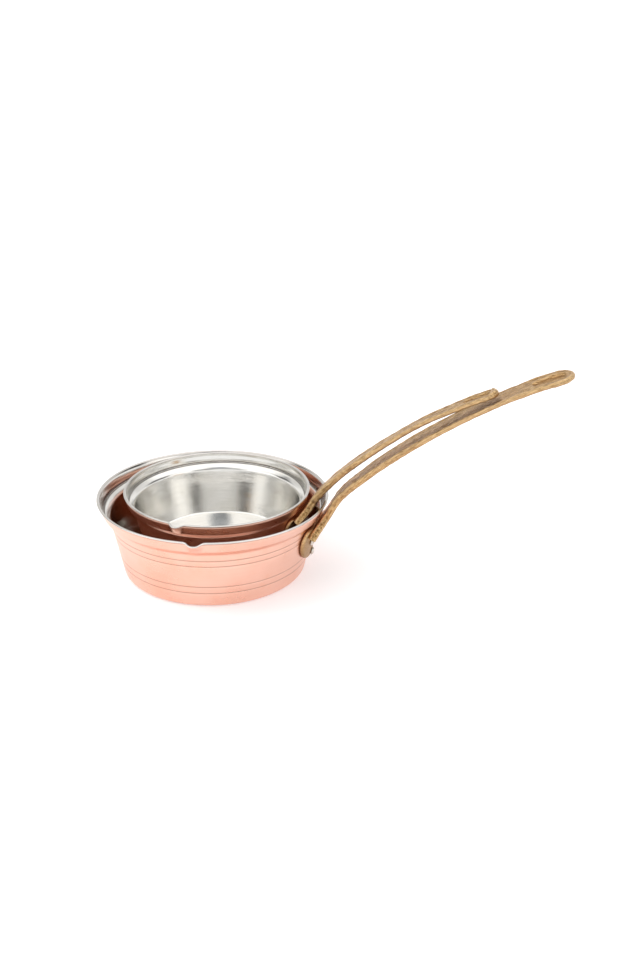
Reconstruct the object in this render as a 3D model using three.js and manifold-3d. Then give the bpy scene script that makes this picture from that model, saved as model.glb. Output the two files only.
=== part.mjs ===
// A nested pair of tin-lined copper saucepans with riveted brass strap handles.
//
// Units are millimetres, +Z is up.  The origin is the centre of the large pan's flat base,
// and the large pan's handle points along +X.  The small pan stands loose inside the large
// one, a little off centre and tipped, with its handle over the large pan's handle.
//
// Each pan is a spun copper shell, a thin tin lining that also covers the rim, a cast brass
// handle with its fixing plate in one piece, and three rivets through plate, shell and lining.

import * as THREE from 'three';
import { mergeVertices } from 'three/addons/utils/BufferGeometryUtils.js';
import Module from 'manifold-3d';

const wasm = await Module();
wasm.setup();

// ---------------------------------------------------------------- driving dimensions

const COPPER_THICKNESS = 1.2;
const TIN_THICKNESS = 0.35;
const TIN_GAP = 0.1;            // bond line between the lining and the copper
const PLATE_GAP = 0.4;          // between the fixing plate and the shell
const HOLE_CLEARANCE = 0.3;     // around a rivet's shank
const SEAT_GAP = 0.3;           // under a rivet's head

const LARGE_PAN = {
  name: 'large_pan',
  rimRadius: 80,
  baseRadius: 63.4,
  height: 53.9,
  wall: [[0.512, 0.774], [0.777, 0.846]],
  lip: { angle: -84, width: 19, reach: 4.5, dip: 1.3 },
  rimSlope: 0.017,
  plate: { width: 46, top: 39.5, bottom: 13.5, thickness: 2.2 },
  rivetHeights: { pair: 29, lower: 17 },
  // Centre line of the handle in its own upright plane: distance from the pan's axis, height.
  handleLine: [
    [73.4, 33.8], [75.2, 37], [77.8, 41], [81, 46], [84.6, 52.4], [88.2, 58.6], [95, 66.6],
    [106, 76.8], [120, 88.8], [140, 103.9], [165, 120.6], [190, 135.4], [212, 146.6],
    [228, 153.3], [239, 156.8],
  ],
  handleWidths: [
    [71, 44], [73.5, 34], [76.5, 23], [81, 18], [90, 17.5], [120, 21.5], [150, 22.5],
    [200, 22.5], [226, 24.5], [239, 24.5],
  ],
  handleThickness: { root: 5.4, tip: 3.5 },
  eye: { length: 23, width: 13, endMargin: 3.4, depth: 1.5 },
};

const SMALL_PAN = {
  name: 'small_pan',
  rimRadius: 64.9,
  baseRadius: 51.4,
  height: 43.4,
  wall: [[0.56, 0.75], [0.85, 0.828]],
  lip: { angle: -96, width: 18, reach: 4.0, dip: 1.2 },
  rimSlope: 0,
  plate: { width: 39, top: 31.5, bottom: 10, thickness: 2.2 },
  rivetHeights: { pair: 22, lower: 14 },
  handleLine: [
    [61.8, 29.5], [63.8, 31.8], [66.4, 35], [68.6, 38.2], [70.5, 41.3], [72.7, 44.6],
    [75.8, 48.4], [81.6, 55],
    [91.8, 65.4], [104.9, 76.7], [123, 90.8], [145, 106.1], [165, 117.1], [181, 125.1],
    [192.5, 129.8],
  ],
  handleWidths: [
    [60, 36], [63, 26], [66, 17.5], [70, 13.5], [76, 12.5], [105, 14], [150, 14.5], [177, 17], [192.5, 17],
  ],
  handleThickness: { root: 5.4, tip: 3.2 },
  eye: { length: 17, width: 9, endMargin: 3.0, depth: 1.3 },
};

// Where the small pan rests: centre of its base, the tip of its axis, its handle's heading.
const SMALL_PAN_BASE = [0.5, 9.35, 10.9];
const SMALL_PAN_TIP_ANGLE = -0.8;       // degrees, about a level line TIP_LINE from +X
const SMALL_PAN_TIP_LINE = 29.3;
const SMALL_PAN_HEADING = -3.7;

const DRILL_LENGTH = 12;
const RIVET = { shankRadius: 1.9, headRadius: 2.9, outerHead: 1.7, innerHead: 0.9 };
const RIVET_PAIR_ANGLE = 7.4;           // degrees round the pan, either side of the handle's plane

// A pan's outside: a straight flare-sided wall up to the shoulder, a ledge out to the throat and
// a steep collar up to the rim.  The pan's wall entry gives shoulder and throat, as fractions of
// (base radius to rim radius) and of height.
const CORNER_RADIUS = 2.6;
const ROUND_STEPS = 60;                 // facets round a pan, closer together at its lip
const LIP_CROWDING = 0.6;

const MATERIALS = {
  copper: new THREE.MeshStandardMaterial({ color: 0xe3a184, roughness: 0.3, metalness: 1 }),
  tin: new THREE.MeshStandardMaterial({ color: 0xcfc9c0, roughness: 0.3, metalness: 1 }),
  brass: new THREE.MeshStandardMaterial({ color: 0xc79c5c, roughness: 0.4, metalness: 1 }),
  rivet: new THREE.MeshStandardMaterial({ color: 0xc9c6c0, roughness: 0.35, metalness: 1 }),
};

// ---------------------------------------------------------------- solids and booleans

function toSolid(geometry) {
  const bare = geometry.index ? geometry.clone() : mergeVertices(geometry);
  bare.deleteAttribute('normal');
  bare.deleteAttribute('uv');
  const merged = mergeVertices(bare, 1e-4);
  return new wasm.Manifold(new wasm.Mesh({
    numProp: 3,
    vertProperties: new Float32Array(merged.attributes.position.array),
    triVerts: new Uint32Array(merged.index.array),
  }));
}

function toGeometry(solid) {
  const mesh = solid.getMesh();
  const geometry = new THREE.BufferGeometry();
  geometry.setAttribute('position', new THREE.BufferAttribute(mesh.vertProperties, 3));
  geometry.setIndex(new THREE.BufferAttribute(mesh.triVerts, 1));
  geometry.computeVertexNormals();
  return geometry;
}

// A closed outline of [radius, height] points turned about Z.
function turned(outline, steps) {
  const points = outline.map(([r, z]) => new THREE.Vector2(r, z));
  return new THREE.LatheGeometry(points, steps).rotateX(Math.PI / 2);
}

// Swaps each triangle's winding, for an outline that was turned in the opposite order.
function inverted(geometry) {
  const { array } = geometry.index;
  for (let i = 0; i < array.length; i += 3) [array[i], array[i + 1]] = [array[i + 1], array[i]];
  return geometry;
}

// An outline in the XY plane, raised from z = low to z = high.
function raised(points, low, high) {
  const shape = new THREE.Shape(points.map(([x, y]) => new THREE.Vector2(x, y)));
  const settings = { depth: high - low, bevelEnabled: false };
  return new THREE.ExtrudeGeometry(shape, settings).translate(0, 0, low);
}

function valueAt(table, x) {
  if (x <= table[0][0]) return table[0][1];
  for (let i = 1; i < table.length; i += 1) {
    const [x0, y0] = table[i - 1];
    const [x1, y1] = table[i];
    if (x <= x1) return y0 + ((y1 - y0) * (x - x0)) / (x1 - x0);
  }
  return table[table.length - 1][1];
}

// ---------------------------------------------------------------- pan outline

function outsideOutline(pan) {
  const spread = pan.rimRadius - pan.baseRadius;
  const corner = [[pan.baseRadius - CORNER_RADIUS, 0]];
  for (const turn of [40, 90]) {
    const a = THREE.MathUtils.degToRad(turn);
    corner.push([
      pan.baseRadius - CORNER_RADIUS * (1 - Math.sin(a)),
      CORNER_RADIUS * (1 - Math.cos(a)),
    ]);
  }
  const wall = pan.wall.map(([f, g]) => [pan.baseRadius + f * spread, g * pan.height]);
  return [...corner, ...wall, [pan.rimRadius, pan.height]];
}

// The same outline moved inwards by a distance measured square to each stretch of it.
function insetOutline(outline, distance) {
  const point = ([r, z]) => new THREE.Vector2(r, z);
  const last = outline.length - 1;
  return outline.map((corner, i) => {
    const arriving = i === 0 ? new THREE.Vector2(1, 0) : point(corner).sub(point(outline[i - 1]));
    const leaving = i === last ? arriving.clone() : point(outline[i + 1]).sub(point(corner));
    const middle = arriving.normalize().clone().add(leaving.normalize()).normalize();
    // The cut edge at the rim is level; elsewhere the corner is mitred.
    if (i === last) return [corner[0] - distance / middle.y, corner[1]];
    const mitre = distance / middle.dot(arriving);
    return [corner[0] - middle.y * mitre, corner[1] + middle.x * mitre];
  });
}

function wallRadius(pan, z) {
  return valueAt(outsideOutline(pan).slice(2).map(([r, h]) => [h, r]), z);
}

// Draws the rim out into the pouring lip and closes the facets up around it.  The large pan's
// hand-worked rim is also a little higher on the lip's side than behind.
function withLip(geometry, pan) {
  const { angle, width, reach, dip } = pan.lip;
  const lipStart = pan.height * 0.72;
  const position = geometry.attributes.position;
  for (let i = 0; i < position.count; i += 1) {
    const [x, y, z] = [position.getX(i), position.getY(i), position.getZ(i)];
    const r = Math.hypot(x, y);
    const evenTurn = Math.atan2(y, x);
    const turn = evenTurn - LIP_CROWDING * Math.sin(evenTurn);
    const across = Math.abs(turn) * pan.rimRadius;
    const bump = across < width / 2 ? Math.cos((Math.PI * across) / width) ** 2 : 0;
    const rise = THREE.MathUtils.clamp((z - lipStart) / (pan.height - lipStart), 0, 1);
    const pull = bump * rise * rise;
    const heading = turn + THREE.MathUtils.degToRad(angle);
    const radius = r + reach * pull;
    const [px, py] = [radius * Math.cos(heading), radius * Math.sin(heading)];
    const slope = pan.rimSlope * Math.max(0, z / pan.height);
    position.setXYZ(i, px, py, z - dip * pull - slope * py);
  }
  return geometry;
}

// ---------------------------------------------------------------- pieces of a pan

// The three rivets of a handle: a pair side by side above and one in the middle below.
function rivetPlaces(pan) {
  const { pair, lower } = pan.rivetHeights;
  return [
    { name: 'lip_side_rivet', height: pair, turn: -RIVET_PAIR_ANGLE },
    { name: 'far_side_rivet', height: pair, turn: RIVET_PAIR_ANGLE },
    { name: 'lower_rivet', height: lower, turn: 0 },
  ];
}

// Turns something built along +Z so that it points out of the wall at a rivet.
function placedAtRivet(geometry, pan, { height, turn }) {
  const [low, high] = [height - 4, height + 4];
  const lean = Math.atan2(wallRadius(pan, high) - wallRadius(pan, low), high - low);
  return geometry
    .rotateY(Math.PI / 2 + lean)
    .translate(wallRadius(pan, height), 0, height)
    .rotateZ(THREE.MathUtils.degToRad(turn));
}

function rivetHoles(pan) {
  const radius = RIVET.shankRadius + HOLE_CLEARANCE;
  return rivetPlaces(pan).map((place) => {
    const drill = new THREE.CylinderGeometry(radius, radius, DRILL_LENGTH, 12).rotateX(Math.PI / 2);
    return toSolid(placedAtRivet(drill, pan, place));
  });
}

function drilled(solid, pan) {
  return rivetHoles(pan).reduce((body, hole) => body.subtract(hole), solid);
}

function shellGeometry(pan) {
  const outside = outsideOutline(pan);
  outside[outside.length - 1][1] -= TIN_THICKNESS + TIN_GAP;
  const inside = insetOutline(outside, COPPER_THICKNESS);
  const outline = [[0, 0], ...outside, ...inside.reverse(), [0, COPPER_THICKNESS]];
  return toGeometry(drilled(toSolid(withLip(turned(outline, ROUND_STEPS), pan)), pan));
}

function liningGeometry(pan) {
  const outside = outsideOutline(pan);
  outside[outside.length - 1][1] -= TIN_THICKNESS + TIN_GAP;
  const back = insetOutline(outside, COPPER_THICKNESS + TIN_GAP);
  const front = insetOutline(outside, COPPER_THICKNESS + TIN_GAP + TIN_THICKNESS);
  back[back.length - 1][1] += TIN_GAP;
  front[front.length - 1][1] = pan.height;
  // Turned from the rim down, as the shell's inside is, so that their facets stay parallel.
  const outline = [
    [0, COPPER_THICKNESS + TIN_GAP + TIN_THICKNESS],
    ...front,
    [pan.rimRadius, pan.height],
    [pan.rimRadius, pan.height - TIN_THICKNESS],
    ...back.reverse(),
    [0, COPPER_THICKNESS + TIN_GAP],
  ];
  const lining = inverted(withLip(turned(outline, ROUND_STEPS), pan));
  return toGeometry(drilled(toSolid(lining), pan));
}

// Points of a plate's back, which follows the wall.
function plateBack({ plate: { top, bottom }, ...pan }) {
  return [bottom - 2, (top + bottom) / 2, top + 1].map((z) => [wallRadius(pan, z) + PLATE_GAP, z]);
}

// The fixing plate: a ring round the wall cut to a shield with round shoulders and foot.
function plateSolid(pan) {
  const { width, top, bottom, thickness } = pan.plate;
  const back = plateBack(pan);
  const front = back.map(([r, z]) => [r + thickness, z]);
  const ring = turned([...front, ...back.reverse(), front[0]], 120);
  const halfWidth = width / 2;
  const footDepth = (top - bottom) * 0.74;
  const shoulder = top - bottom - footDepth;
  const outline = [];
  const steps = 16;
  for (let i = 0; i <= steps; i += 1) {
    const a = Math.PI * (i / steps);
    outline.push([-halfWidth * Math.cos(a), bottom + footDepth * (1 - Math.sin(a))]);
  }
  for (const side of [1, -1]) {
    for (let i = 1; i <= 6; i += 1) {
      const a = (Math.PI / 2) * ((side > 0 ? i : 7 - i) / 6);
      const [out, up] = [halfWidth - shoulder * (1 - Math.cos(a)), shoulder * Math.sin(a)];
      outline.push([side * out, top - shoulder + up]);
    }
  }
  // The outline is drawn in (y, z) and pushed out along +X.
  const cutter = raised(outline, 0, pan.rimRadius + 20)
    .rotateX(Math.PI / 2)
    .rotateZ(Math.PI / 2);
  return toSolid(ring).intersect(toSolid(cutter));
}

// The strap: its side view and its plan, each pushed through the other.
function strapSolid(pan) {
  const line = new THREE.CatmullRomCurve3(
    pan.handleLine.map(([r, z]) => new THREE.Vector3(r, 0, z)), false, 'centripetal');
  const steps = 34;
  const { root, tip } = pan.handleThickness;
  const [upper, lower, pocketFloor] = [[], [], []];
  for (let i = 0; i <= steps; i += 1) {
    const along = i / steps;
    const p = line.getPointAt(along);
    const t = line.getTangentAt(along);
    const half = (root + (tip - root) * Math.min(1, along * 1.6)) / 2;
    upper.push([p.x - t.z * half, p.z + t.x * half]);
    lower.push([p.x + t.z * half, p.z - t.x * half]);
    pocketFloor.push([p.x - t.z * (half - pan.eye.depth), p.z + t.x * (half - pan.eye.depth)]);
  }
  const reach = Math.max(...pan.handleWidths.map(([, w]) => w));
  const side = raised([...lower, ...upper.reverse()], -reach, reach).rotateX(Math.PI / 2);

  const end = pan.handleLine[pan.handleLine.length - 1][0];
  const endWidth = valueAt(pan.handleWidths, end);
  const endCentre = end - endWidth / 2;
  const start = pan.handleLine[0][0] - 4;
  const near = [];
  for (let i = 0; i <= 12; i += 1) {
    const x = start + ((endCentre - start) * i) / 12;
    near.push([x, -valueAt(pan.handleWidths, x) / 2]);
  }
  const far = near.map(([x, y]) => [x, -y]).reverse();
  const plan = raised([...near, ...arc(endCentre, endWidth / 2), ...far], 0, 200);

  const { length, width, endMargin } = pan.eye;
  const outerCentre = end - endMargin - width / 2;
  const innerCentre = outerCentre - length + width;
  const oval = raised([
    ...arc(outerCentre, width / 2),
    ...arc(innerCentre, -width / 2),
  ], 0, 220);
  const above = raised([...pocketFloor, [end + 5, 210], [start - 5, 210]], -reach, reach)
    .rotateX(Math.PI / 2);

  const strap = toSolid(side).intersect(toSolid(plan));
  return strap.subtract(toSolid(oval).intersect(toSolid(above)));
}

// Half a circle round (centre, 0) in the XY plane; a negative radius gives the left half.
function arc(centre, radius) {
  const steps = 10;
  const points = [];
  for (let i = 1; i < steps; i += 1) {
    const a = -Math.PI / 2 + (Math.PI * i) / steps;
    points.push([centre + radius * Math.cos(a), radius * Math.sin(a)]);
  }
  return points;
}

function handleGeometry(pan) {
  // The strap's buried root is trimmed to the plate's back, so it never meets the shell.
  const back = plateBack(pan);
  const plug = turned([[0, back[0][1]], ...back, [0, back[2][1]]], 120);
  const handle = plateSolid(pan).add(strapSolid(pan).subtract(toSolid(plug)));
  return toGeometry(drilled(handle, pan));
}

function rivetGeometry(pan, place) {
  const { shankRadius, headRadius, outerHead, innerHead } = RIVET;
  const outerSeat = PLATE_GAP + pan.plate.thickness + SEAT_GAP;
  const innerSeat = -(COPPER_THICKNESS + TIN_GAP + TIN_THICKNESS + SEAT_GAP);
  const outline = [
    [0, innerSeat - innerHead],
    [headRadius * 0.6, innerSeat - innerHead * 0.8],
    [headRadius, innerSeat],
    [shankRadius, innerSeat],
    [shankRadius, outerSeat],
    [headRadius, outerSeat],
    [headRadius * 0.9, outerSeat + outerHead * 0.5],
    [headRadius * 0.55, outerSeat + outerHead * 0.88],
    [0, outerSeat + outerHead],
  ];
  return placedAtRivet(turned(outline, 16), pan, place);
}

// ---------------------------------------------------------------- assembly

function mesh(name, geometry, material) {
  const piece = new THREE.Mesh(geometry, material);
  piece.name = name;
  return piece;
}

function panGroup(pan) {
  const group = new THREE.Group();
  group.add(mesh(`${pan.name}_copper_shell`, shellGeometry(pan), MATERIALS.copper));
  group.add(mesh(`${pan.name}_tin_lining`, liningGeometry(pan), MATERIALS.tin));
  group.add(mesh(`${pan.name}_handle`, handleGeometry(pan), MATERIALS.brass));
  for (const place of rivetPlaces(pan)) {
    group.add(mesh(`${pan.name}_${place.name}`, rivetGeometry(pan, place), MATERIALS.rivet));
  }
  return group;
}

const largePan = panGroup(LARGE_PAN);

const smallPan = panGroup(SMALL_PAN);
const tipLine = THREE.MathUtils.degToRad(SMALL_PAN_TIP_LINE);
const tipAxis = new THREE.Vector3(Math.cos(tipLine), Math.sin(tipLine), 0);
const heading = new THREE.Quaternion().setFromAxisAngle(
  new THREE.Vector3(0, 0, 1), THREE.MathUtils.degToRad(SMALL_PAN_HEADING));
smallPan.quaternion
  .setFromAxisAngle(tipAxis, THREE.MathUtils.degToRad(SMALL_PAN_TIP_ANGLE))
  .multiply(heading);
smallPan.position.set(...SMALL_PAN_BASE);

const nestedPans = new THREE.Group();
nestedPans.add(largePan, smallPan);

export default nestedPans;
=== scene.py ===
# A nested pair of tin-lined copper saucepans with riveted, cast brass strap handles.
#
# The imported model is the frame.  Every piece here is a finely turned, lofted or remeshed mesh
# that stands where its own CAD node stands.  Sizes are worked in millimetres and scaled once.
# Each pan is built in its own frame, with its base centre at the origin and its handle along +X.

import math

import bpy
import numpy as np
from mathutils import Matrix, Vector, noise


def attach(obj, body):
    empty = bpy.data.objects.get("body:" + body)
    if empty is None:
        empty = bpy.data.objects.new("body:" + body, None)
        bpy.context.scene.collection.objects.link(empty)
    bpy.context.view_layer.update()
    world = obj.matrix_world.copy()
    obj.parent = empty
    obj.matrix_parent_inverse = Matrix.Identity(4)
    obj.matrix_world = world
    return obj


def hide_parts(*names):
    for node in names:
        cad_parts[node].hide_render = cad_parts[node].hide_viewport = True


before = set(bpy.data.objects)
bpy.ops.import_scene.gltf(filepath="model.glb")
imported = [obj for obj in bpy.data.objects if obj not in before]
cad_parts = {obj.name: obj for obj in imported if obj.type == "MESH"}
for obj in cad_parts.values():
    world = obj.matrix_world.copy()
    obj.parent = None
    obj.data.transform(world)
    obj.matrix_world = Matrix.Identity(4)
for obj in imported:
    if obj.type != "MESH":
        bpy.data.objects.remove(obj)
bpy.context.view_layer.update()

MM = 0.001

# ---------------------------------------------------------------- driving dimensions, mm

COPPER, TIN = 1.2, 0.35                          # thickness of the sheet and of the tinning
TIN_GAP, PLATE_GAP, SEAT_GAP = 0.1, 0.4, 0.3     # under the tinning, the plate, a rivet's heads
FOOT_HEIGHT = 2.6                                # the straight wall is measured from here
CORNER_RADIUS, SHOULDER_RADIUS, THROAT_RADIUS = 3.0, 2.6, 1.5
RING_DEPTH, RING_HALF_WIDTH = 0.26, 0.34
UNDERSIZE = 0.20                                 # keeps the uneven wall inside its true circle
STEPS_ROUND, RIVET_STEPS = 320, 48
RIVET = {"shank": 1.9, "head": 2.9, "outer": 1.7, "inner": 0.9}
VOXEL = 0.42                                     # of the remesh that joins strap and plate

# The small pan in the large one: its base centre, a tip about a level line, and a turn.
SMALL_PAN_PLACE = (0.5, 9.35, 10.9)
TIP_ANGLE, TIP_LINE, HEADING = (math.radians(degrees) for degrees in (-0.8, 29.3, -3.7))
SMALL_PAN_MATRIX = (
    Matrix.Translation([v * MM for v in SMALL_PAN_PLACE])
    @ Matrix.Rotation(TIP_ANGLE, 4, Vector((math.cos(TIP_LINE), math.sin(TIP_LINE), 0)))
    @ Matrix.Rotation(HEADING, 4, "Z")
)

# "wall" gives shoulder and throat as fractions of (base to rim radius) and of height.
# "slope" is how much the rim drops per millimetre towards +Y.  "line" is the strap's centre line
# as (x, z), and "widths" its width at x.  "rivets" gives (height, degrees round the pan).
# "block" is how far the strap's end stands up.
PANS = [
    {
        "name": "large_pan", "matrix": Matrix.Identity(4), "seed": 3.0,
        "rim": 80.0, "base": 63.4, "height": 53.9, "slope": 0.017,
        "wall": [(0.512, 0.774), (0.777, 0.846)],
        "lip": {"angle": -84, "reach": 4.4, "dip": 0.9, "half_width": 4.6},
        "rings": (36.5, 32.1, 15.6, 10.5),
        "plate": {"width": 46, "top": 39.5, "bottom": 13.5, "thickness": 2.2},
        "rivets": {"lip_side": (29, -7.4), "far_side": (29, 7.4), "lower": (17, 0)},
        "line": [(73.4, 33.8), (75.2, 37), (77.8, 41), (81, 46), (84.6, 52.4), (88.2, 58.6),
                 (95, 66.6), (106, 76.8), (120, 88.8), (140, 103.9), (165, 120.6), (190, 135.4),
                 (212, 146.6), (228, 153.3), (238.7, 156.7)],
        "widths": [(73, 42), (75, 35), (78, 26), (82, 19.5), (88, 17.5), (120, 21.5),
                   (150, 22.5), (200, 22.5), (226, 24.5), (238.7, 24.5)],
        "thickness": (5.4, 3.5),
        "eye": {"length": 27, "width": 15.5, "margin": 3.6, "depth": 1.7}, "block": 0.0,
    },
    {
        "name": "small_pan", "matrix": SMALL_PAN_MATRIX, "seed": 11.0,
        "rim": 64.9, "base": 51.4, "height": 43.4, "slope": 0.0,
        "wall": [(0.56, 0.75), (0.85, 0.828)],
        "lip": {"angle": -96, "reach": 3.9, "dip": 0.9, "half_width": 4.2},
        "rings": (),
        "plate": {"width": 39, "top": 31.5, "bottom": 10, "thickness": 2.2},
        "rivets": {"lip_side": (22, -7.4), "far_side": (22, 7.4), "lower": (14, 0)},
        "line": [(61.8, 29.5), (63.8, 31.8), (66.4, 35), (68.6, 38.2), (70.5, 41.3),
                 (72.7, 44.6), (75.8, 48.4), (81.6, 55), (91.8, 65.4), (104.9, 76.7),
                 (123, 90.8), (145, 106.1), (165, 117.1), (181, 125.1), (192.5, 129.8)],
        "widths": [(61.5, 36), (64, 29), (67, 20.5), (70.5, 14.5), (76, 12.5), (105, 14),
                   (150, 14.5), (177, 17), (192.5, 17)],
        "thickness": (5.4, 3.2),
        "eye": {"length": 22, "width": 11, "margin": 4.6, "depth": 1.0}, "block": 0.9,
    },
]

# ---------------------------------------------------------------- outlines


def value_at(table, x):
    return float(np.interp(x, [a for a, _ in table], [b for _, b in table]))


def smooth(t):
    t = np.clip(t, 0.0, 1.0)
    return t * t * (3 - 2 * t)


def filleted(points, radii):
    """The polyline with each inner corner rounded to its radius."""
    steps = 5
    out = [np.array(points[0], float)]
    for before, corner, after, radius in zip(points, points[1:], points[2:], radii):
        corner = np.array(corner, float)
        u = np.array(before, float) - corner
        v = np.array(after, float) - corner
        u, v = u / np.linalg.norm(u), v / np.linalg.norm(v)
        half = math.acos(float(np.clip(u @ v, -1, 1))) / 2
        middle = (u + v) / np.linalg.norm(u + v)
        centre = corner + middle * radius / math.sin(half)
        start = corner + u * radius / math.tan(half) - centre
        end = corner + v * radius / math.tan(half) - centre
        for i in range(steps + 1):
            way = start * (1 - i / steps) + end * (i / steps)
            out.append(centre + way / np.linalg.norm(way) * radius)
    out.append(np.array(points[-1], float))
    return out


def divided(points, longest):
    """The polyline with its long stretches cut up."""
    out = [points[0]]
    for a, b in zip(points, points[1:]):
        n = max(1, math.ceil(np.linalg.norm(b - a) / longest))
        out.extend(a + (b - a) * i / n for i in range(1, n + 1))
    return out


def inset(points, distance):
    """The outline moved to its left, square to itself.  It leaves the axis level."""
    points = np.array(points)
    run = np.gradient(points, axis=0)
    run /= np.linalg.norm(run, axis=1)[:, None]
    run[0] = (1, 0)
    return [p + distance * np.array((-t[1], t[0])) for p, t in zip(points, run)]


def wall_corners(pan):
    spread = pan["rim"] - pan["base"]
    return [(pan["base"] + f * spread, g * pan["height"]) for f, g in (*pan["wall"], (1, 1))]


def wall_outline(pan):
    """Outside of the pan from the base centre to the rim: flat, corner, wall, ledge, collar."""
    shoulder, throat, rim = wall_corners(pan)
    lean = (shoulder[0] - pan["base"]) / (shoulder[1] - FOOT_HEIGHT)
    foot = (pan["base"] - FOOT_HEIGHT * lean, 0.0)
    radii = (CORNER_RADIUS, SHOULDER_RADIUS, THROAT_RADIUS)
    return filleted([(0.0, 0.0), foot, shoulder, throat, rim], radii)


def wall_radius(pan, z):
    """The outside of the wall at a height, its corners left sharp."""
    table = [(pan["base"], FOOT_HEIGHT), *wall_corners(pan)]
    return np.interp(z, [h for _, h in table], [r for r, _ in table])


def engraved(points, heights):
    """Cuts fine rings into the outline at the given heights: the outline, and its depth 0 to 1."""
    out = []
    for a, b in zip(points, points[1:]):
        out.append(a)
        for h in sorted(h for h in heights if a[1] < h <= b[1]):
            for shift in (-2.2, -1.2, -0.6, 0.0, 0.6, 1.2, 2.2):
                z = h + shift * RING_HALF_WIDTH
                out.append(a + (b - a) * (z - a[1]) / (b[1] - a[1]))
    out.append(points[-1])
    # A ring's points can pass the end of their stretch: outwards along the base, then upwards.
    out = sorted(out, key=lambda p: (p[1] > 1e-6, p[0] if p[1] <= 1e-6 else p[1]))
    cuts = [max([math.exp(-((p[1] - h) / RING_HALF_WIDTH) ** 2) for h in heights] or [0.0])
            for p in out]
    return [p - np.array((RING_DEPTH * cut, 0.0)) for p, cut in zip(out, cuts)], cuts


# ---------------------------------------------------------------- turned pieces


def new_object(name, vertices, faces, pan):
    mesh = bpy.data.meshes.new(name)
    mesh.from_pydata((np.asarray(vertices) * MM).tolist(), [], faces)
    mesh.validate()
    mesh.update()
    piece = bpy.data.objects.new(name, mesh)
    bpy.context.scene.collection.objects.link(piece)
    piece.matrix_world = pan["matrix"]
    mesh.shade_smooth()
    return piece


def with_lip(pan, r, z, turn):
    """The hand-worked pan: pouring lip, sloping rim, and a slightly uneven roundness.

    The turn is measured from the middle of the lip.
    """
    lip = pan["lip"]
    across = np.abs(turn) * pan["rim"]
    bump = np.exp(-(across / lip["half_width"]) ** 3)
    lip_start = pan["height"] * 0.72
    rise = np.clip((z - lip_start) / (pan["height"] - lip_start), 0, 1)
    pull = bump * rise ** 2
    heading = turn + math.radians(lip["angle"])
    uneven = 0.10 * np.sin(2 * heading + pan["seed"]) + 0.05 * np.sin(5 * heading + 2 * pan["seed"])
    uneven = (uneven - UNDERSIZE) * np.clip((z - 2) / 20, 0, 1)
    radius = r + lip["reach"] * pull + uneven
    x, y = radius * np.cos(heading), radius * np.sin(heading)
    drop = lip["dip"] * pull + pan["slope"] * np.clip(z / pan["height"], 0, None) * y
    return np.stack([x, y, z - drop], axis=-1)


def turned_piece(name, outline, pan, marks=None, steps=STEPS_ROUND, worked=True):
    """A closed outline of (radius, height) that starts and ends on the axis, turned about Z.

    A worked piece gets the lip and unevenness of its pan, with more steps near the lip.
    """
    outline = np.array(outline)
    even = np.linspace(-math.pi, math.pi, steps, endpoint=False)
    turn = even - 0.5 * np.sin(even) if worked else even
    inner = outline[1:-1]
    r, z = inner[:, 0][:, None], inner[:, 1][:, None]
    if worked:
        grid = with_lip(pan, r + 0 * turn, z + 0 * turn, turn[None, :] + 0 * r)
    else:
        grid = np.stack([r * np.cos(turn), r * np.sin(turn), z + 0 * turn], axis=-1)
    rows = len(inner)
    vertices = grid.reshape(-1, 3).tolist()
    faces = []
    for i in range(rows - 1):
        for j in range(steps):
            k = (j + 1) % steps
            faces.append((i * steps + j, i * steps + k, (i + 1) * steps + k, (i + 1) * steps + j))
    first, last = len(vertices), len(vertices) + 1
    vertices += [(0, 0, outline[0][1]), (0, 0, outline[-1][1])]
    for j in range(steps):
        k = (j + 1) % steps
        faces.append((first, k, j))
        faces.append((last, (rows - 1) * steps + j, (rows - 1) * steps + k))
    piece = new_object(name, vertices, faces, pan)
    if marks is not None:
        shade = np.zeros(len(vertices))
        shade[: rows * steps] = np.repeat(np.array(marks)[1:-1], steps)
        paint(piece, "painted_shade_and_tone", shade)
    return piece


def paint(piece, name, values):
    """Stores one number per vertex for the materials to read."""
    layer = piece.data.attributes.new(name, "FLOAT", "POINT")
    layer.data.foreach_set("value", np.asarray(values, np.float32))


def rim_bead(pan):
    """The tinned rim: over the top of the sheet and a little way down its outside."""
    offsets = [(-2.05, -0.45), (-1.75, -0.20), (-1.30, -0.05), (-0.85, 0.0), (-0.38, -0.07),
               (-0.07, -0.26), (0.0, -0.50), (-0.08, -0.72), (-0.30, -0.85), (-0.60, -0.85),
               (-1.85, -0.80)]
    return [np.array((pan["rim"] + r, pan["height"] + z)) for r, z in offsets]


def spun(points, seed, depth):
    """Faint spinning waves along an outline."""
    out, along = [], 0.0
    for i, p in enumerate(points):
        along += float(np.linalg.norm(p - points[i - 1])) if i else 0.0
        wave = noise.noise(Vector((along / 3.1, seed, 0.0)))
        wave += 0.6 * noise.noise(Vector((along / 1.2, seed, 4.0)))
        out.append(p + np.array((0.0, 1.0) if p[1] < 2.4 else (-1.0, 0.0)) * depth * wave)
    return out


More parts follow.
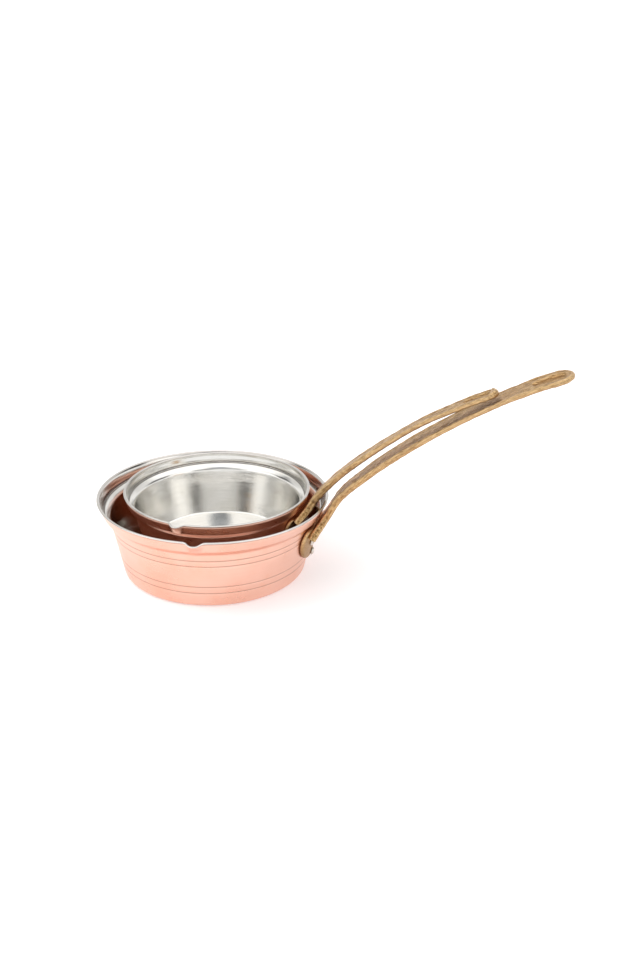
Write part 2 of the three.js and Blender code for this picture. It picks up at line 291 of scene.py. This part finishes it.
def copper_shell(pan):
    """The copper sheet, which stops just under the tinned bead of the rim."""
    wall = divided(wall_outline(pan), 3.0)
    bead_depth = 1.1
    outside = [p for p in wall if p[1] < pan["height"] - bead_depth]
    outside, marks = engraved(outside, pan["rings"])
    _, throat, edge = wall_corners(pan)
    collar_slope = (edge[0] - throat[0]) / (edge[1] - throat[1])
    rim = [(-collar_slope * bead_depth, -bead_depth), (-0.75, -1.04), (-0.85, -0.96),
           (-1.20, -0.93), (-1.60, -0.93), (-1.85, -1.05)]
    rim = [np.array((pan["rim"] + r, pan["height"] + z)) for r, z in rim]
    inside = inset(wall, COPPER)
    inside = [p for p in inside if p[1] < pan["height"] - 1.2]
    outline = [*outside, *rim, *inside[::-1]]
    # Painted shade: darker in the engraved rings and on the copper's edge under the rim's bead.
    marks = marks + [0.35] * len(rim) + [0.0] * len(inside)
    return turned_piece(pan["name"] + "_copper_body", outline, pan, marks)


def tin_lining(pan):
    """The tinning: a thin inner wall with a small ridge at the throat, and the rim's bead."""
    wall = divided(wall_outline(pan), 1.6)
    back = inset(wall, COPPER + TIN_GAP)
    front = inset(wall, COPPER + TIN_GAP + TIN)
    back = [p for p in back if p[1] < pan["height"] - 0.95]
    front = [p for p in front if p[1] < pan["height"] - 0.7]
    spun_front = spun(front, pan["seed"], 0.035)
    ridge_at = wall_corners(pan)[1][1] + 0.9
    spun_front = [
        p + np.array((0.8, -0.55)) * 0.42 * math.exp(-((p[1] - ridge_at) / 0.55) ** 2)
        for p in spun_front
    ]
    outline = [*back, *rim_bead(pan)[::-1], *spun_front[::-1]]
    # Painted shade where the bead meets the copper and where it meets the wall, with a darker,
    # warmer tone over the bead between, one mark for each point; then painted shade along the ridge
    # at the throat.
    bead_marks = [0.7, 1.0, 0.7] + [0.38] * 6 + [0.5, 0.9]
    marks = [0.0] * len(back) + bead_marks
    marks += [math.exp(-((p[1] - ridge_at) / 0.6) ** 2) for p in spun_front[::-1]]
    return turned_piece(pan["name"] + "_tinning", outline, pan, marks)


# ---------------------------------------------------------------- handles


def centre_line(points):
    """A centripetal Catmull-Rom curve through the points: lengths, places, tangents."""
    samples = 500
    p = [np.array(q, float) for q in points]
    p = [2 * p[0] - p[1], *p, 2 * p[-1] - p[-2]]
    dense = []
    for a, b, c, d in zip(p, p[1:], p[2:], p[3:]):
        g0, g1, g2 = [math.sqrt(np.linalg.norm(v - u)) for u, v in ((a, b), (b, c), (c, d))]
        m1 = ((b - a) / g0 - (c - a) / (g0 + g1) + (c - b) / g1) * g1
        m2 = ((c - b) / g1 - (d - b) / (g1 + g2) + (d - c) / g2) * g1
        for t in np.linspace(0, 1, 40, endpoint=False):
            dense.append(b + m1 * t + (3 * (c - b) - 2 * m1 - m2) * t * t
                         + (2 * (b - c) + m1 + m2) * t ** 3)
    dense = np.array([*dense, p[-2]])
    gaps = np.linalg.norm(np.diff(dense, axis=0), axis=1)
    length = np.concatenate([[0], np.cumsum(gaps)])
    s = np.linspace(0, length[-1], samples)
    places = np.stack([np.interp(s, length, dense[:, 0]), np.interp(s, length, dense[:, 1])], 1)
    tangents = np.gradient(places, axis=0)
    tangents /= np.linalg.norm(tangents, axis=1)[:, None]
    return s, places, tangents


def strap(pan):
    """Vertices and faces of the strap: two sheets over its plan, joined by a side wall."""
    s, places, tangents = centre_line(pan["line"])
    root, tip = pan["thickness"]
    total = s[-1]
    half = (root + (tip - root) * np.minimum(1, s / total * 1.6)) / 2
    x = places[:, 0]
    end = pan["line"][-1][0]
    end_width = value_at(pan["widths"], end)
    half_width = np.array([value_at(pan["widths"], v) for v in x]) / 2
    # The rounded end, measured along the strap.
    slope = 1 / tangents[-1][0]
    to_end = (end - x) * slope
    radius = end_width / 2
    into_end = np.clip(radius - to_end, 0, radius - 0.02)
    round_off = np.sqrt(np.clip(1 - (into_end / radius) ** 2, 0, 1))
    plan_half = np.minimum(half_width, radius * round_off + (half_width - radius) * (into_end <= 0))

    # Crowded towards both long edges, where the section turns.
    even = np.linspace(-1, 1, 61)
    q = np.sin(even * math.pi / 2) * 0.75 + even * 0.25
    b = q[None, :] * plan_half[:, None]
    edge = plan_half[:, None] - np.abs(b)
    tip_edge = radius - np.hypot(into_end[:, None], b)
    near_tip = (into_end > 0)[:, None]
    edge = np.where(near_tip, np.clip(tip_edge, 0, None), edge)

    # Rounded edges, a raised line along both of them on top, and a crowned underside.
    corner, relief = 1.25, 0.30
    inner = np.clip(corner - edge, 0, corner)
    rounding = corner - np.sqrt(corner ** 2 - inner ** 2)
    edge_line = 0.38 * np.exp(-((edge - 1.6) / 0.75) ** 2)
    crown = relief * (1 - (b / np.maximum(half_width[:, None], 1)) ** 2)
    pocket = eye_depth(pan, x[:, None], b, slope)
    top = half[:, None] - rounding - relief + edge_line - pocket
    bottom = -half[:, None] + rounding + relief - crown
    # The raised lines fade out towards the root.
    fade = smooth((s - 12) / 18)[:, None]
    top = top + (relief - edge_line) * (1 - fade)
    top = top + pan["block"] * smooth((6.0 - to_end) / 1.6)[:, None] * smooth(edge / 1.5)

    def sheet(offset):
        px = places[:, 0][:, None] - tangents[:, 1][:, None] * offset
        pz = places[:, 1][:, None] + tangents[:, 0][:, None] * offset
        return np.stack([px, b, pz], axis=-1)

    upper, lower = sheet(top), sheet(bottom)
    n, m = b.shape
    vertices = np.concatenate([upper.reshape(-1, 3), lower.reshape(-1, 3)])
    # The root stays off the pan's wall.
    reach = np.hypot(vertices[:, 0], vertices[:, 1])
    least = wall_radius(pan, vertices[:, 2]) + PLATE_GAP + 0.05
    push = np.where(vertices[:, 2] < pan["plate"]["top"] + 1, np.maximum(1, least / reach), 1)
    vertices[:, :2] *= push[:, None]
    faces = []
    low = n * m
    for i in range(n - 1):
        for j in range(m - 1):
            a, c, d, e = i * m + j, (i + 1) * m + j, (i + 1) * m + j + 1, i * m + j + 1
            faces += [(a, c, d, e), (low + a, low + e, low + d, low + c)]
    around = [i * m for i in range(n)] + [(n - 1) * m + j for j in range(1, m)]
    around += [i * m + m - 1 for i in range(n - 2, -1, -1)] + [j for j in range(m - 2, 0, -1)]
    for a, c in zip(around, around[1:] + around[:1]):
        faces.append((a, low + a, low + c, c))
    return vertices, faces


def eye_depth(pan, x, b, slope):
    """How far the spoon-like recess near the strap's end goes down."""
    eye = pan["eye"]
    end = pan["line"][-1][0]
    outer = end - (eye["margin"] + eye["width"] / 2) / slope
    inner = outer - (eye["length"] - eye["width"]) / slope
    past = np.where(x > outer, x - outer, np.where(x < inner, x - inner, 0)) * slope
    # The inner end of the recess is drawn out to a narrow tongue.
    taper = np.clip((outer - x) / (outer - inner), 0, 1)
    half = eye["width"] / 2 * (1 - 0.35 * taper)
    inside = half - np.hypot(past, b)
    return eye["depth"] * smooth(inside / 2.6)


def plate(pan):
    """Vertices and faces of the fixing plate: a shield that follows the wall."""
    width, top, bottom = pan["plate"]["width"], pan["plate"]["top"], pan["plate"]["bottom"]
    half = width / 2
    foot = (top - bottom) * 0.74
    corner = top - bottom - foot
    ring = [(half - corner * (1 - math.cos(a)), top - corner * (1 - math.sin(a)))
            for a in np.linspace(0.1, math.pi / 2, 8)]
    ring += [(-y, z) for y, z in ring[::-1]]
    for a in np.linspace(0, math.pi, 40):
        ring.append((-half * math.cos(a), bottom + foot * (1 - math.sin(a))))
    ring = divided([np.array(p) for p in ring] + [np.array(ring[0])], 1.2)[:-1]
    ring = np.array(ring)
    centre = np.array((0.0, (top + bottom) / 2 + 2))
    # From the middle out, closer together where the edge is rounded.
    shrink = np.concatenate([np.linspace(0, 0.8, 9), np.linspace(0.83, 1, 12)])
    grid = centre + shrink[:, None, None] * (ring - centre)
    distance = (1 - shrink)[:, None] * np.linalg.norm(ring - centre, axis=1)
    rounded = 0.9
    inner = np.clip(rounded - distance * 0.85, 0, rounded)
    rounding = rounded - np.sqrt(rounded ** 2 - inner ** 2)
    y, z = grid[..., 0], grid[..., 1]
    back = wall_radius(pan, z) + PLATE_GAP
    front = back + pan["plate"]["thickness"] - rounding

    def sheet(radius):
        return np.stack([np.sqrt(radius ** 2 - y ** 2), y, z], axis=-1)

    n, m = y.shape
    vertices = np.concatenate([sheet(front).reshape(-1, 3), sheet(back).reshape(-1, 3)])
    faces = []
    low = n * m
    for i in range(n - 1):
        for j in range(m):
            k = (j + 1) % m
            a, c, d, e = i * m + j, (i + 1) * m + j, (i + 1) * m + k, i * m + k
            faces += [(a, e, d, c), (low + a, low + c, low + d, low + e)]
    for j in range(m):
        a, c = (n - 1) * m + j, (n - 1) * m + (j + 1) % m
        faces.append((a, c, low + c, low + a))
    return vertices, faces


def brass_handle(pan):
    """Strap and plate cast in one: joined, remeshed, softened, then worked and marked."""
    strap_v, strap_f = strap(pan)
    plate_v, plate_f = plate(pan)
    vertices = np.concatenate([strap_v, plate_v])
    faces = strap_f + [tuple(i + len(strap_v) for i in f) for f in plate_f]
    piece = new_object(pan["name"] + "_cast_handle", vertices, faces, pan)
    remesh = piece.modifiers.new("cast", "REMESH")
    remesh.mode = "VOXEL"
    remesh.voxel_size = VOXEL * MM
    remesh.adaptivity = 0.0
    soften = piece.modifiers.new("soften", "SMOOTH")
    soften.factor, soften.iterations = 0.5, 4
    apply_modifiers(piece)
    work_surface(piece, pan)
    piece.data.shade_smooth()
    return piece


def apply_modifiers(piece):
    """Gives the piece its modified mesh and takes the modifiers off."""
    graph = bpy.context.evaluated_depsgraph_get()
    mesh = bpy.data.meshes.new_from_object(piece.evaluated_get(graph))
    piece.modifiers.clear()
    old, piece.data = piece.data, mesh
    mesh.name = piece.name
    bpy.data.meshes.remove(old)


def read_mesh(mesh):
    """Vertices in millimetres, their normals, and the edges."""
    n = len(mesh.vertices)
    co, no = np.zeros(n * 3), np.zeros(n * 3)
    mesh.vertices.foreach_get("co", co)
    mesh.vertices.foreach_get("normal", no)
    edges = np.zeros(len(mesh.edges) * 2, int)
    mesh.edges.foreach_get("vertices", edges)
    return co.reshape(-1, 3) / MM, no.reshape(-1, 3), edges.reshape(-1, 2)


def averaged(values, edges, rounds):
    """Each vertex's values blended with its neighbours', a few rounds over."""
    count = np.zeros(len(values))
    np.add.at(count, edges[:, 0], 1)
    np.add.at(count, edges[:, 1], 1)
    for _ in range(rounds):
        total = np.zeros_like(values)
        for axis in range(values.shape[1]):
            total[:, axis] = np.bincount(edges[:, 0], values[edges[:, 1], axis], len(values))
            total[:, axis] += np.bincount(edges[:, 1], values[edges[:, 0], axis], len(values))
        values = 0.5 * values + 0.5 * total / count[:, None]
    return values


def work_surface(piece, pan):
    """File and hammer marks that run along the strap, then the hollows and edges they leave."""
    mesh = piece.data
    co, no, edges = read_mesh(mesh)
    s, places, _ = centre_line(pan["line"])
    along = np.zeros(len(co))
    batch = 4000
    for start in range(0, len(co), batch):
        part = co[start:start + batch]
        reach = (part[:, 0, None] - places[:, 0]) ** 2 + (part[:, 2, None] - places[:, 1]) ** 2
        along[start:start + batch] = s[np.argmin(reach, axis=1)]
    on_plate = smooth((pan["plate"]["top"] + 3 - co[:, 2]) / 6)
    seed = pan["seed"]
    depth = np.zeros(len(co))
    for i, (_, y, z) in enumerate(co):
        a = along[i]
        streak = noise.noise(Vector((a / 5.5, y / 0.95, seed + z / 9.0)))
        dent = noise.noise(Vector((a / 3.4, y / 2.9, seed + 7.0 + z / 3.0)))
        wave = noise.noise(Vector((a / 14.0, y / 8.0, seed + 15.0)))
        depth[i] = 0.15 * streak + 0.17 * dent + 0.17 * wave
    depth *= 1 - 0.6 * on_plate
    moved = co + no * np.clip(depth, -0.35, 0.30)[:, None]
    mesh.vertices.foreach_set("co", (moved * MM).ravel())
    mesh.update()
    co, no, edges = read_mesh(mesh)
    hollow = np.einsum("ij,ij->i", averaged(co, edges, 14) - co, no)
    # Masks for the painted shade in the hollows and the painted highlight along the edges.
    paint(piece, "hollow", np.clip((hollow - 0.04) / 0.16, 0, 1))
    paint(piece, "edge", np.clip(-hollow / 0.16, 0, 1))
    grain = mesh.attributes.new("grain", "FLOAT_VECTOR", "POINT")
    vectors = np.stack([along, co[:, 1], co[:, 2] - np.interp(along, s, places[:, 1])], 1)
    grain.data.foreach_set("vector", vectors.astype(np.float32).ravel())


# ---------------------------------------------------------------- rivets


def rivet(pan, place):
    """A domed rivet through plate, shell and lining, with a flattened, hammered head."""
    height, turn_degrees = pan["rivets"][place]
    outer = PLATE_GAP + pan["plate"]["thickness"] + SEAT_GAP
    inner = -(COPPER + TIN_GAP + TIN + SEAT_GAP)
    head, shank = RIVET["head"], RIVET["shank"]
    outline = [(0.0, inner - RIVET["inner"])]
    for t in np.linspace(0.12, 1, 8):
        outline.append((head * t, inner - RIVET["inner"] * math.sqrt(max(0, 1 - t ** 2.6))))
    seat, bevel = 0.12, 0.15
    outline += [(head - bevel, inner + seat), (shank, inner + seat), (shank, outer - seat)]
    outline += [(head - bevel, outer - seat), (head, outer + 0.1)]
    for t in np.linspace(0.97, 0.08, 12):
        outline.append((head * t, outer + RIVET["outer"] * math.sqrt(max(0, 1 - t ** 2.4))))
    outline.append((0.0, outer + RIVET["outer"]))
    outline = [np.array(p) for p in outline]
    piece = turned_piece(f"{pan['name']}_{place}_rivet_head", outline, pan,
                         steps=RIVET_STEPS, worked=False)
    co, no, _ = read_mesh(piece.data)
    for i, p in enumerate(co):
        dent = noise.cell_vector(Vector((p[0] / 1.6, p[1] / 1.6, height)))[0] - 0.5
        dent = 0.06 * dent + 0.10 * noise.noise(Vector((p[0] / 1.3, p[1] / 1.3, height)))
        co[i] = p + no[i] * dent * (1.0 if p[2] > outer + 0.2 else 0.0)
    low, high = wall_radius(pan, height - 4), wall_radius(pan, height + 4)
    lean = math.atan2(float(high - low), 8)
    tilt = np.array(Matrix.Rotation(math.pi / 2 + lean, 3, "Y"))
    turn = np.array(Matrix.Rotation(math.radians(turn_degrees), 3, "Z"))
    co = (co @ tilt.T + np.array((float(wall_radius(pan, height)), 0, height))) @ turn.T
    piece.data.vertices.foreach_set("co", (co * MM).ravel())
    piece.data.update()
    return piece


# ---------------------------------------------------------------- materials


class Nodes:
    """Short-hand for building a node tree."""

    def __init__(self, tree):
        self.tree = tree

    def add(self, kind, inputs=(), **settings):
        node = self.tree.nodes.new(kind)
        for key, value in settings.items():
            setattr(node, key, value)
        for key, value in dict(inputs).items():
            if isinstance(value, bpy.types.NodeSocket):
                self.tree.links.new(value, node.inputs[key])
            else:
                node.inputs[key].default_value = value
        return node

    def math(self, operation, a, b, clamp=False):
        node = self.add("ShaderNodeMath", {0: a, 1: b}, operation=operation, use_clamp=clamp)
        return node.outputs[0]

    def noise(self, vector, scale, detail, roughness=0.5):
        inputs = {"Vector": vector, "Scale": scale, "Detail": detail, "Roughness": roughness}
        return self.add("ShaderNodeTexNoise", inputs).outputs["Fac"]

    def ramp(self, factor, stops):
        node = self.add("ShaderNodeValToRGB", {"Fac": factor})
        elements = node.color_ramp.elements
        while len(elements) < len(stops):
            elements.new(0.5)
        for element, (place, colour) in zip(elements, stops):
            element.position = place
            element.color = (*colour, 1)
        return node.outputs["Color"]

    def level(self, factor, low, high, at_low, at_high):
        inputs = {"Value": factor, "From Min": low, "From Max": high,
                  "To Min": at_low, "To Max": at_high}
        return self.add("ShaderNodeMapRange", inputs).outputs["Result"]

    def mix(self, factor, a, b, kind="MIX"):
        """Blends two colours: this node takes them at sockets 6 and 7, and gives colour at 2."""
        a, b = [v if isinstance(v, bpy.types.NodeSocket) else (*v, 1) for v in (a, b)]
        node = self.add("ShaderNodeMix", {0: factor, 6: a, 7: b}, data_type="RGBA", blend_type=kind)
        return node.outputs[2]

    def attribute(self, name, output="Fac"):
        return self.add("ShaderNodeAttribute", attribute_name=name).outputs[output]

    def wire(self, shader, sockets):
        for name, socket in sockets.items():
            self.tree.links.new(socket, shader.inputs[name])

    def bump(self, height, distance, strength, normal=None):
        inputs = {"Height": height, "Distance": distance, "Strength": strength}
        if normal:
            inputs["Normal"] = normal
        return self.add("ShaderNodeBump", inputs).outputs["Normal"]


def new_material(name, **shader):
    """A material of one principled shader: the material, its nodes and the shader."""
    material = bpy.data.materials.new(name)
    material.use_nodes = True
    tree = material.node_tree
    tree.nodes.clear()
    nodes = Nodes(tree)
    surface = nodes.add("ShaderNodeBsdfPrincipled", shader)
    out = nodes.add("ShaderNodeOutputMaterial")
    tree.links.new(surface.outputs[0], out.inputs[0])
    return material, nodes, surface


def object_place(nodes):
    return nodes.add("ShaderNodeTexCoord").outputs["Object"]


def lathe_vector(nodes, round_scale, along_scale):
    """Coordinates that run round the pan slowly and along its outline quickly."""
    xyz = nodes.add("ShaderNodeSeparateXYZ", {0: object_place(nodes)}).outputs
    flat = nodes.add("ShaderNodeCombineXYZ", {0: xyz[0], 1: xyz[1]}).outputs[0]
    radius = nodes.add("ShaderNodeVectorMath", {0: flat}, operation="LENGTH").outputs["Value"]
    unit = nodes.add("ShaderNodeVectorMath", {0: flat}, operation="NORMALIZE").outputs[0]
    unit = nodes.add("ShaderNodeSeparateXYZ", {0: unit}).outputs
    along = nodes.math("MULTIPLY", nodes.math("ADD", radius, xyz[2]), along_scale)
    inputs = {0: nodes.math("MULTIPLY", unit[0], round_scale),
              1: nodes.math("MULTIPLY", unit[1], round_scale), 2: along}
    return nodes.add("ShaderNodeCombineXYZ", inputs).outputs[0]


def copper_material(name):
    # The faint glow stands in for light that is passed on many times between the nested pans.
    glow = {"Emission Color": (0.90, 0.17, 0.05, 1), "Emission Strength": 0.035}
    material, nodes, surface = new_material(name, Metallic=1.0, Anisotropic=0.35, **glow)
    place = object_place(nodes)
    lines = nodes.noise(lathe_vector(nodes, 1.6, 1500.0), 1.0, 4.0, 0.6)
    bands = nodes.noise(lathe_vector(nodes, 0.7, 130.0), 1.0, 2.0)
    cloud = nodes.noise(place, 28.0, 4.0, 0.55)
    blotch = nodes.noise(place, 95.0, 3.0, 0.5)
    colour = nodes.ramp(cloud, [(0.30, (0.825, 0.480, 0.368)), (0.52, (0.855, 0.540, 0.430)),
                                (0.75, (0.875, 0.580, 0.480))])
    colour = nodes.mix(nodes.level(blotch, 0.60, 0.72, 0.0, 0.30), colour, (0.86, 0.47, 0.32))
    colour = nodes.mix(nodes.level(lines, 0.35, 0.65, 0.10, 0.0), colour, (0.70, 0.36, 0.24))
    # Painted shade in the engraved rings and under the rim's bead, read from the outline's marks.
    painted_shade_and_tone = nodes.attribute("painted_shade_and_tone")
    colour = nodes.mix(nodes.math("MULTIPLY", painted_shade_and_tone, 0.70), colour, (0.28, 0.16, 0.12))
    rough = nodes.math("ADD", nodes.level(cloud, 0.3, 0.7, 0.25, 0.34),
                       nodes.level(bands, 0.3, 0.7, -0.03, 0.03))
    normal = nodes.bump(lines, 0.00002, 0.5)
    normal = nodes.bump(bands, 0.00015, 0.5, normal)
    normal = nodes.bump(nodes.noise(place, 60.0, 2.0), 0.00012, 0.5, normal)
    tangent = nodes.add("ShaderNodeTangent", direction_type="RADIAL", axis="Z").outputs[0]
    nodes.wire(surface, {"Base Color": colour, "Roughness": rough, "Normal": normal,
                         "Tangent": tangent})
    return material


def tin_material(name):
    material, nodes, surface = new_material(name, Metallic=1.0, Anisotropic=0.75)
    place = object_place(nodes)
    lines = nodes.noise(lathe_vector(nodes, 2.2, 1900.0), 1.0, 5.0, 0.65)
    bands = nodes.noise(lathe_vector(nodes, 1.3, 160.0), 1.0, 2.0)
    cloud = nodes.noise(place, 45.0, 4.0, 0.6)
    colour = nodes.ramp(cloud, [(0.28, (0.85, 0.83, 0.785)), (0.55, (0.92, 0.91, 0.885)),
                                (0.78, (0.95, 0.945, 0.93))])
    colour = nodes.mix(nodes.level(lines, 0.35, 0.62, 0.22, 0.0), colour, (0.62, 0.60, 0.56))
    # Painted shade at the bead's seams and along the throat ridge, and a darker, warmer tone over
    # the bead.
    painted_shade_and_tone = nodes.attribute("painted_shade_and_tone")
    colour = nodes.mix(nodes.math("MULTIPLY", painted_shade_and_tone, 0.6), colour, (0.30, 0.235, 0.195))
    rough = nodes.math("ADD", nodes.level(cloud, 0.3, 0.7, 0.09, 0.17),
                       nodes.level(lines, 0.3, 0.7, 0.0, 0.05))
    normal = nodes.bump(lines, 0.00003, 0.5)
    normal = nodes.bump(bands, 0.00018, 0.5, normal)
    normal = nodes.bump(nodes.noise(place, 80.0, 3.0), 0.00015, 0.5, normal)
    tangent = nodes.add("ShaderNodeTangent", direction_type="RADIAL", axis="Z").outputs[0]
    nodes.wire(surface, {"Base Color": colour, "Roughness": rough, "Normal": normal,
                         "Tangent": tangent})
    return material


def brass_material(name):
    material, nodes, surface = new_material(name, Metallic=1.0)
    grain = nodes.attribute("grain", "Vector")
    hollow, edge = nodes.attribute("hollow"), nodes.attribute("edge")
    place = object_place(nodes)
    broad = nodes.add("ShaderNodeMapping", {"Vector": grain, "Scale": (0.22, 1.6, 1.6)})
    streaks = nodes.noise(broad.outputs[0], 1.0, 5.0, 0.62)
    fine = nodes.add("ShaderNodeMapping", {"Vector": grain, "Scale": (0.9, 6.0, 6.0)})
    hairs = nodes.noise(fine.outputs[0], 1.0, 3.0, 0.6)
    cloud = nodes.noise(place, 40.0, 3.0, 0.5)
    pits = nodes.noise(place, 900.0, 2.0, 0.6)
    colour = nodes.ramp(streaks, [(0.40, (0.17, 0.080, 0.028)), (0.47, (0.42, 0.235, 0.090)),
                                  (0.55, (0.62, 0.390, 0.165)), (0.67, (0.90, 0.670, 0.370))])
    colour = nodes.mix(nodes.level(cloud, 0.42, 0.68, 0.0, 0.5), colour, (0.52, 0.31, 0.15))
    # Painted shade: darker in the hollows.
    colour = nodes.mix(nodes.math("MULTIPLY", hollow, 0.8, True), colour, (0.17, 0.075, 0.025))
    # Painted highlight: lighter along the edges.
    colour = nodes.mix(nodes.math("MULTIPLY", edge, 0.45, True), colour, (0.93, 0.70, 0.40))
    # Painted shade: darker on the sides and underneath, by the way the surface faces.
    facing = nodes.add("ShaderNodeTexCoord").outputs["Normal"]
    down = nodes.level(nodes.add("ShaderNodeSeparateXYZ", {0: facing}).outputs[2],
                       -0.70, 0.50, 0.80, 0.0)
    colour = nodes.mix(down, colour, (0.30, 0.165, 0.065))
    rough = nodes.math("ADD", nodes.level(streaks, 0.3, 0.7, 0.44, 0.26),
                       nodes.math("MULTIPLY", hollow, 0.25))
    normal = nodes.bump(hairs, 0.00018, 0.8)
    normal = nodes.bump(streaks, 0.00030, 0.7, normal)
    normal = nodes.bump(pits, 0.00008, 0.35, normal)
    nodes.wire(surface, {"Base Color": colour, "Roughness": rough, "Normal": normal})
    return material


def rivet_material(name):
    material, nodes, surface = new_material(name, Metallic=1.0)
    place = object_place(nodes)
    cloud = nodes.noise(place, 350.0, 3.0, 0.6)
    scratch = nodes.noise(place, 1400.0, 3.0, 0.6)
    colour = nodes.ramp(cloud, [(0.30, (0.52, 0.46, 0.38)), (0.55, (0.74, 0.71, 0.66)),
                                (0.75, (0.86, 0.85, 0.83))])
    rough = nodes.level(cloud, 0.3, 0.7, 0.42, 0.26)
    normal = nodes.bump(scratch, 0.00005, 0.5)
    nodes.wire(surface, {"Base Color": colour, "Roughness": rough, "Normal": normal})
    return material


# ---------------------------------------------------------------- assembly

copper, tin = copper_material("polished_copper"), tin_material("wiped_tin")
brass, rivet_metal = brass_material("cast_brass"), rivet_material("tinned_rivet")


def finished(piece, pan, node, material):
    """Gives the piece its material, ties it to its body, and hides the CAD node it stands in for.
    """
    piece.data.materials.append(material)
    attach(piece, pan["name"])
    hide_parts(f"{pan['name']}_{node}")


for pan in PANS:
    finished(copper_shell(pan), pan, "copper_shell", copper)
    finished(tin_lining(pan), pan, "tin_lining", tin)
    finished(brass_handle(pan), pan, "handle", brass)
    for place in pan["rivets"]:
        finished(rivet(pan, place), pan, place + "_rivet", rivet_metal)

# ---------------------------------------------------------------- studio

FLOOR, FLOOR_DROP = 7.0, 0.0003      # metres: half its width, and how far it is under the pan
floor_mesh = bpy.data.meshes.new("floor")
floor_mesh.from_pydata(
    [(-FLOOR, -FLOOR, 0), (FLOOR, -FLOOR, 0), (FLOOR, FLOOR, 0), (-FLOOR, FLOOR, 0)], [],
    [(0, 1, 2, 3)])
floor = bpy.data.objects.new("floor", floor_mesh)
floor.location.z = -FLOOR_DROP
bpy.context.scene.collection.objects.link(floor)
# Its faint glow keeps the paper pale out to its far edge.
paper, *_ = new_material(
    "paper", **{"Base Color": (0.80, 0.79, 0.795, 1), "Roughness": 0.8, "Specular IOR Level": 0.1,
                "Emission Color": (1.0, 0.955, 0.98, 1), "Emission Strength": 0.38})
floor_mesh.materials.append(paper)

scene = bpy.context.scene
world = bpy.data.worlds.new("studio")
scene.world = world
world.use_nodes = True
world.node_tree.nodes.clear()
sky = Nodes(world.node_tree)
direction = sky.add("ShaderNodeTexCoord").outputs["Generated"]
axes = sky.add("ShaderNodeSeparateXYZ", {0: direction}).outputs
azimuth = sky.math("ARCTAN2", axes[0], axes[1])
turn = sky.math("ADD", sky.math("DIVIDE", azimuth, 2 * math.pi), 0.5)
tent = sky.ramp(axes[2], [(0.0, (1.02, 1.02, 1.02)), (0.27, (1.00, 1.00, 0.995)),
                          (0.32, (0.95, 0.945, 0.93)),
                          (0.66, (0.95, 0.945, 0.93)), (0.74, (1.30, 1.29, 1.28)),
                          (1.0, (1.30, 1.29, 1.28))])
# Dark stands and openings round the light tent, low down, and one above and behind the camera.
DARK, DIM, GREY, PALE = [(v, v, v) for v in (0.08, 0.42, 0.80, 1.45)]
bars = sky.ramp(turn, [(0.000, DIM), (0.060, DIM), (0.085, PALE), (0.215, PALE), (0.240, DARK),
                       (0.305, DARK), (0.330, GREY), (0.625, GREY), (0.655, DARK),
                       (0.735, DARK), (0.760, PALE), (0.850, PALE), (0.870, DIM), (0.945, DIM),
                       (0.965, GREY), (1.0, DIM)])
low = sky.math("MULTIPLY", sky.level(axes[2], 0.58, 0.64, 1.0, 0.0),
               sky.level(axes[2], 0.28, 0.35, 0.0, 1.0))
light = sky.mix(low, tent, sky.mix(1.0, tent, bars, "MULTIPLY"))
blot_heading = math.radians(169)
behind = (math.sin(blot_heading) * 0.64, math.cos(blot_heading) * 0.64, 0.77)
toward = sky.add("ShaderNodeVectorMath", {0: direction, 1: behind}, operation="DOT_PRODUCT")
blot = sky.level(toward.outputs["Value"], 0.965, 0.985, 0.0, 0.8)
light = sky.mix(blot, light, (0.10, 0.13, 0.17))
background = sky.add("ShaderNodeBackground", {"Color": light, "Strength": 1.0})
out = sky.add("ShaderNodeOutputWorld")
world.node_tree.links.new(background.outputs[0], out.inputs[0])

# One soft key light from the left.  Mirror rays pass it, so it isn't seen as a disc in the tin.
key_light = bpy.data.lights.new("key", "AREA")
key_light.shape, key_light.size, key_light.energy = "DISK", 0.9, 8.0
key_light.color = (1.0, 0.985, 0.97)
key = bpy.data.objects.new("key", key_light)
key.location = (-0.9, -0.2, 1.3)
key.rotation_mode = "QUATERNION"
key.rotation_quaternion = (Vector((0.03, 0, 0.03)) - key.location).to_track_quat("-Z", "Y")
key.visible_glossy = False
scene.collection.objects.link(key)

camera_data = bpy.data.cameras.new("camera")
camera = bpy.data.objects.new("camera", camera_data)
scene.collection.objects.link(camera)
scene.camera = camera
camera_data.lens = 52.5
camera_data.sensor_width = 36.0
camera_data.clip_start, camera_data.clip_end = 0.01, 50.0
camera.location = (0.2397, -0.8466, 0.45665)
camera.rotation_euler = (math.radians(90 - 24.13), 0.0, math.radians(11.0))

scene.view_settings.view_transform = "Standard"
scene.view_settings.look = "None"
scene.view_settings.exposure = 0.0
scene.view_settings.gamma = 1.0

bpy.context.view_layer.update()
